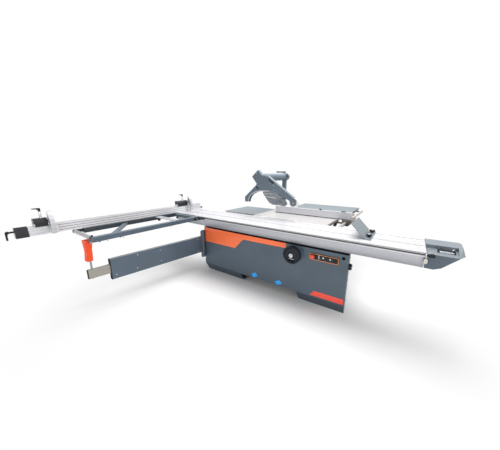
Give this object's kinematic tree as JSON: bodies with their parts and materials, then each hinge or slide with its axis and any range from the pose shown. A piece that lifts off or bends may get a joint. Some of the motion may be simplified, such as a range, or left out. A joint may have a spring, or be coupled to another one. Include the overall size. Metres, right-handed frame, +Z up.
{
  "type": "sliding table saw",
  "caption": "Sliding table saw: long aluminium carriage with outrigger, telescopic cross-cut fence and swing arm, overhead guard, tilting saw unit and rip fence.",
  "frame": {"origin": "on the floor under the middle of the outside box", "axes": "+X along the sliding table to the operator's end, +Y from the sliding table to the rip fence, +Z up"},
  "size_m": [3.545, 4.27, 1.546],
  "materials": {
    "slate_paint": "satin powder coat",
    "dark_paint": "matt powder coat",
    "grey_paint": "satin powder coat",
    "cast_top": "ground",
    "alu_clear": "anodised, satin",
    "alu_lilac": "anodised, satin",
    "steel_bright": "ground",
    "black_plastic": "fine grain",
    "orange_plastic": "satin",
    "red_plastic": "gloss",
    "white_plastic": "satin",
    "clear_plastic": "tinted, clear",
    "zinc_grey": "zinc plated"
  },
  "bodies": {
    "machine": {"cabinet_front": "slate_paint", "cabinet_walls": "slate_paint", "base_frame": "dark_paint", "supports": "dark_paint", "main_table": "cast_top", "table_insert": "alu_clear", "rear_table": "grey_paint", "right_table": "grey_paint", "beam": "alu_lilac", "arm_bracket": "slate_paint", "control_panel": "black_plastic", "rip_rail": "steel_bright", "rail_brackets": "dark_paint", "trunnions": "dark_paint", "guard_post": "slate_paint"},
    "stop_button": {"stop_button": "red_plastic"},
    "start_button": {"start_button": "black_plastic"},
    "off_button": {"off_button": "black_plastic"},
    "handwheel": {"handwheel": "black_plastic"},
    "end_knob": {"end_knob": "black_plastic"},
    "tilt_unit": {"tilt_frame": "dark_paint"},
    "lift_unit": {"arbor_block": "grey_paint"},
    "main_blade": {"main_blade": "steel_bright"},
    "scoring_blade": {"scoring_blade": "steel_bright"},
    "rip_carrier": {"rip_carrier": "dark_paint"},
    "rip_profile": {"rip_profile": "alu_lilac"},
    "rip_knob": {"rip_knob": "black_plastic"},
    "carriage": {"carriage": "alu_clear", "end_cap": "grey_paint", "cap_handle": "black_plastic", "outrigger_frame": "slate_paint", "cross_rail": "alu_clear", "carriage_clamp": "slate_paint", "support_head": "steel_bright", "post_cover": "orange_plastic", "frame_knobs": "black_plastic"},
    "carriage_lock": {"carriage_lock": "black_plastic"},
    "roller": {"end_roller": "alu_clear"},
    "clamp_knob": {"clamp_knob": "black_plastic"},
    "fence": {"fence_profile": "alu_clear"},
    "extension": {"fence_extension": "alu_clear", "extension_block": "black_plastic"},
    "extension_lever": {"extension_lever": "black_plastic"},
    "stop_a": {"stop_a_block": "black_plastic"},
    "stop_a_blade": {"stop_a_blade": "alu_clear"},
    "stop_a_lever": {"stop_a_lever": "black_plastic"},
    "stop_b": {"stop_b_block": "black_plastic"},
    "stop_b_blade": {"stop_b_blade": "alu_clear"},
    "stop_b_lever": {"stop_b_lever": "black_plastic"},
    "arm": {"arm_box": "slate_paint"},
    "arm_tube": {"arm_tube": "zinc_grey"},
    "shoe": {"shoe_base": "grey_paint"},
    "shoe_flap": {"shoe_flap": "grey_paint"},
    "shoe_knob_a": {"shoe_knob_a": "black_plastic"},
    "shoe_knob_b": {"shoe_knob_b": "black_plastic"},
    "guard_tube": {"guard_tube": "grey_paint"},
    "guard_lever": {"guard_lever": "black_plastic"},
    "guard_hood": {"guard_hood": "slate_paint"},
    "guard_shield": {"guard_shield": "clear_plastic"},
    "guard_wheel": {"guard_wheel": "white_plastic"}
  },
  "joints": [
    {"name": "carriage_travel", "type": "slide", "parent": "machine", "child": "carriage", "axis": [1, 0, 0], "range_m": [-1.45, 1.2]},
    {"name": "arm_swing", "type": "hinge", "parent": "machine", "child": "arm", "pos_m": [-1.1605, -0.145, 0.44], "axis": [0, 0, 1], "range_deg": [-46, 38]},
    {"name": "arm_reach", "type": "slide", "parent": "arm", "child": "arm_tube", "axis": [-0.1084, -0.9941, 0], "range_m": [0, 0.7]},
    {"name": "roller_spin", "type": "hinge", "parent": "carriage", "child": "roller", "pos_m": [-1.4305, -1.594, 0.8595], "axis": [1, 0, 0], "continuous": true},
    {"name": "clamp_knob_turn", "type": "hinge", "parent": "carriage", "child": "clamp_knob", "pos_m": [-1.1055, -0.225, 0.858], "axis": [0, -1, 0], "range_deg": [-180, 180]},
    {"name": "cap_lock_turn", "type": "hinge", "parent": "carriage", "child": "carriage_lock", "pos_m": [1.5375, -0.187, 0.863], "axis": [0, -1, 0], "range_deg": [-20, 90]},
    {"name": "fence_mitre", "type": "hinge", "parent": "carriage", "child": "fence", "pos_m": [-1.7255, 0.242, 0.9], "axis": [0, 0, 1], "range_deg": [-45, 12]},
    {"name": "extension_slide", "type": "slide", "parent": "fence", "child": "extension", "axis": [0, -1, 0], "range_m": [0, 0.6]},
    {"name": "extension_lever_turn", "type": "hinge", "parent": "extension", "child": "extension_lever", "pos_m": [-1.7255, -2.071, 0.947], "axis": [0, 1, 0], "range_deg": [-60, 60]},
    {"name": "stop_a_slide", "type": "slide", "parent": "extension", "child": "stop_a", "axis": [0, 1, 0], "range_m": [-0.035, 0.035]},
    {"name": "stop_a_flip", "type": "hinge", "parent": "stop_a", "child": "stop_a_blade", "pos_m": [-1.7255, -1.809, 1.0112], "axis": [0, -1, 0], "range_deg": [0, 100]},
    {"name": "stop_a_lever_turn", "type": "hinge", "parent": "stop_a", "child": "stop_a_lever", "pos_m": [-1.7255, -1.8523, 1.04], "axis": [0, 0, 1], "range_deg": [-70, 70]},
    {"name": "stop_b_slide", "type": "slide", "parent": "fence", "child": "stop_b", "axis": [0, 1, 0], "range_m": [-1.3, 0.2]},
    {"name": "stop_b_flip", "type": "hinge", "parent": "stop_b", "child": "stop_b_blade", "pos_m": [-1.7255, 0.04, 1.0172], "axis": [0, -1, 0], "range_deg": [0, 100]},
    {"name": "stop_b_lever_turn", "type": "hinge", "parent": "stop_b", "child": "stop_b_lever", "pos_m": [-1.7255, -0.0379, 1.04], "axis": [0, 0, 1], "range_deg": [-70, 70]},
    {"name": "handwheel_turn", "type": "hinge", "parent": "machine", "child": "handwheel", "pos_m": [0.3245, -0.147, 0.584], "axis": [0, -1, 0], "range_deg": [0, 3240]},
    {"name": "tilt", "type": "hinge", "parent": "machine", "child": "tilt_unit", "pos_m": [-0.1355, 0.348, 0.88], "axis": [-1, 0, 0], "range_deg": [0, 45]},
    {"name": "blade_lift", "type": "slide", "parent": "tilt_unit", "child": "lift_unit", "axis": [0, 0, 1], "range_m": [0, 0.091]},
    {"name": "main_blade_spin", "type": "hinge", "parent": "lift_unit", "child": "main_blade", "pos_m": [-0.1755, 0.348, 0.7105], "axis": [0, 1, 0], "continuous": true},
    {"name": "scoring_blade_spin", "type": "hinge", "parent": "tilt_unit", "child": "scoring_blade", "pos_m": [0.056, 0.348, 0.808], "axis": [0, 1, 0], "continuous": true},
    {"name": "stop_button_press", "type": "slide", "parent": "machine", "child": "stop_button", "axis": [0, 1, 0], "range_m": [0, 0.004]},
    {"name": "start_button_press", "type": "slide", "parent": "machine", "child": "start_button", "axis": [0, 1, 0], "range_m": [0, 0.004], "stiffness_N_per_m": 400},
    {"name": "off_button_press", "type": "slide", "parent": "machine", "child": "off_button", "axis": [0, 1, 0], "range_m": [0, 0.004], "stiffness_N_per_m": 400},
    {"name": "end_knob_turn", "type": "hinge", "parent": "machine", "child": "end_knob", "pos_m": [0.9245, -0.07, 0.567], "axis": [1, 0, 0], "range_deg": [-180, 180]},
    {"name": "rip_carrier_slide", "type": "slide", "parent": "machine", "child": "rip_carrier", "axis": [0, 1, 0], "range_m": [-0.39, 0.93]},
    {"name": "rip_profile_slide", "type": "slide", "parent": "rip_carrier", "child": "rip_profile", "axis": [1, 0, 0], "range_m": [-0.05, 0.25]},
    {"name": "rip_knob_turn", "type": "hinge", "parent": "rip_carrier", "child": "rip_knob", "pos_m": [0.2845, 0.865, 0.96], "axis": [0, 0, 1], "range_deg": [-180, 180]},
    {"name": "shoe_slide", "type": "slide", "parent": "carriage", "child": "shoe", "axis": [1, 0, 0], "range_m": [-1.6, 0.38]},
    {"name": "shoe_flap_turn", "type": "hinge", "parent": "shoe", "child": "shoe_flap", "pos_m": [1.0285, 0.119, 0.8882], "axis": [0, -1, 0], "range_deg": [-44, 30]},
    {"name": "shoe_knob_a_turn", "type": "hinge", "parent": "shoe", "child": "shoe_knob_a", "pos_m": [1.0585, 0.023, 0.887], "axis": [0, 0, 1], "range_deg": [-180, 180]},
    {"name": "shoe_knob_b_turn", "type": "hinge", "parent": "shoe", "child": "shoe_knob_b", "pos_m": [1.0585, 0.242, 0.887], "axis": [0, 0, 1], "range_deg": [-180, 180]},
    {"name": "guard_tube_slide", "type": "slide", "parent": "machine", "child": "guard_tube", "axis": [0, 1, 0], "range_m": [-0.03, 0.25]},
    {"name": "guard_lever_turn", "type": "hinge", "parent": "machine", "child": "guard_lever", "pos_m": [-0.5505, 1.34, 1.437], "axis": [0, 0, 1], "range_deg": [-80, 80]},
    {"name": "guard_hood_swing", "type": "hinge", "parent": "guard_tube", "child": "guard_hood", "pos_m": [-0.5135, 0.348, 1.44], "axis": [0, 1, 0], "range_deg": [-40, 16]},
    {"name": "guard_shield_swing", "type": "hinge", "parent": "guard_hood", "child": "guard_shield", "pos_m": [-0.3375, 0.348, 1.27], "axis": [0, -1, 0], "range_deg": [0, 12]},
    {"name": "guard_wheel_spin", "type": "hinge", "parent": "guard_hood", "child": "guard_wheel", "pos_m": [0.1005, 0.348, 1.117], "axis": [0, 1, 0], "continuous": true}
  ],
  "couplings": [
    {"joint": "arm_swing", "follows": "carriage_travel", "rad_per_m": 0.55},
    {"joint": "blade_lift", "follows": "handwheel_turn", "m_per_rad": 0.0015915}
  ]
}
